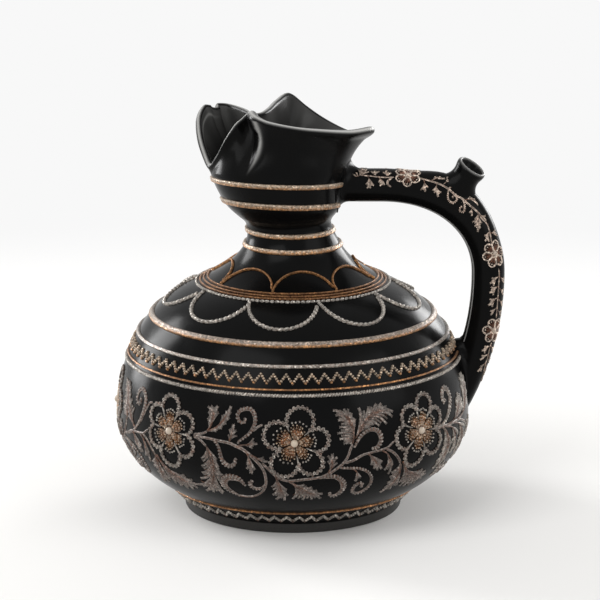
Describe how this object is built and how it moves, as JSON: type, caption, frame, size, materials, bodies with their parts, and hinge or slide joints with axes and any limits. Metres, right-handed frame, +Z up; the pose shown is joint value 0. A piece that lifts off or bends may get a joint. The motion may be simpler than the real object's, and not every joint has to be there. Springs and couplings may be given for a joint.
{
  "type": "ceramic jug",
  "caption": "Squat-bellied ceramic jug with a narrow neck, a pinched leaf-shaped mouth cup, a hollow loop handle with a small drinking spout, and raised bands and flowers.",
  "frame": {"origin": "middle of the flat underside of the foot", "axes": "+Z up along the belly's axis, +X towards the handle, -Y towards the viewer of the pictured side"},
  "size_m": [0.2436, 0.2242, 0.2533],
  "materials": {
    "clay": "matte unglazed dark clay",
    "glaze": "glossy near-black glaze",
    "champagne": "raised enamel with pale metallic sparkle",
    "gold": "raised enamel with gold sparkle",
    "silver": "raised enamel with silver-grey sparkle",
    "pearl": "satin pearl enamel"
  },
  "bodies": {
    "root": {"lower_belly": "glaze", "upper_belly": "glaze", "neck": "glaze", "mouth_cup": "glaze", "handle_tube": "glaze", "drinking_spout": "glaze", "foot_disc": "clay", "mouth_band_upper": "champagne", "mouth_band_lower": "champagne", "neck_band_upper": "champagne", "neck_band_lower": "champagne", "shoulder_band_wide": "champagne", "shoulder_band_thin": "silver", "rope_band": "silver", "gold_line": "gold", "lower_gold_line": "gold", "collar_ring_1": "gold", "collar_ring_2": "gold", "collar_ring_3": "gold", "collar_ring_4": "silver", "zigzag_upper": "champagne", "zigzag_lower": "silver", "upper_scallop_1": "gold", "upper_scallop_2": "gold", "upper_scallop_3": "gold", "upper_scallop_4": "gold", "upper_scallop_5": "gold", "upper_scallop_6": "gold", "upper_scallop_7": "gold", "upper_scallop_8": "gold", "lower_scallop_1": "silver", "lower_scallop_2": "silver", "lower_scallop_3": "silver", "lower_scallop_4": "silver", "lower_scallop_5": "silver", "lower_scallop_6": "silver", "lower_scallop_7": "silver", "lower_scallop_8": "silver", "lower_scallop_9": "silver", "flower_1": "silver", "flower_centre_1": "pearl", "flower_2": "silver", "flower_centre_2": "pearl", "flower_3": "silver", "flower_centre_3": "pearl", "flower_4": "silver", "flower_centre_4": "pearl", "flower_5": "silver", "flower_centre_5": "pearl", "flower_6": "silver", "flower_centre_6": "pearl", "flower_7": "silver", "flower_centre_7": "pearl"}
  },
  "joints": []
}
